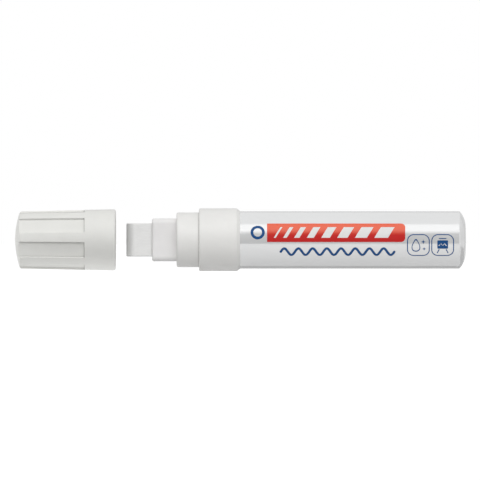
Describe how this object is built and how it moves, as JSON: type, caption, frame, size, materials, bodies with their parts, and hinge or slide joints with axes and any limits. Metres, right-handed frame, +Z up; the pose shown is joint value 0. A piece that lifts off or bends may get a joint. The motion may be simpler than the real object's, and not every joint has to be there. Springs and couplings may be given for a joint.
{
  "type": "liquid chalk marker",
  "caption": "Thick valve-action chalk marker with a broad chisel felt nib, wide collar, long round tank barrel and a tapered push-on cap with finger recesses, shown with the cap off.",
  "frame": {"origin": "middle of the length of the marker and its cap as they lie, on the surface that they lie on", "axes": "+X along the marker from the cap towards the rear end of the barrel, +Z up, the broad face of the nib towards -Y"},
  "size_m": [0.2028, 0.0284, 0.0282],
  "materials": {
    "cap_plastic": "satin",
    "liner_plastic": "satin",
    "felt": "matte",
    "holder_plastic": "satin",
    "nose_plastic": "satin",
    "barrel_plastic": "gloss",
    "valve_plastic": "satin",
    "seal_rubber": "matte",
    "spring_steel": "satin",
    "ball_steel": "polished"
  },
  "bodies": {
    "marker": {"barrel": "barrel_plastic", "front_section": "nose_plastic", "nib_holder": "holder_plastic", "barrel_gasket": "seal_rubber", "valve_housing": "valve_plastic", "valve_spring": "spring_steel", "spring_cage": "valve_plastic"},
    "cap": {"cap_shell": "cap_plastic", "cap_liner": "liner_plastic"},
    "nib_unit": {"nib": "felt", "nib_carrier": "valve_plastic", "valve_stem": "valve_plastic", "valve_seal": "seal_rubber"},
    "ball": {"mixing_ball": "ball_steel"}
  },
  "joints": [
    {"name": "cap_slide", "type": "slide", "parent": "marker", "child": "cap", "axis": [1, 0, 0], "range_m": [0, 0.03735]},
    {"name": "nib_press", "type": "slide", "parent": "marker", "child": "nib_unit", "axis": [1, 0, 0], "range_m": [0, 0.0025], "stiffness_N_per_m": 800, "deforming": ["valve_spring"]},
    {"name": "ball_run", "type": "slide", "parent": "marker", "child": "ball", "axis": [1, 0, 0], "range_m": [-0.0651, 0.025]}
  ]
}
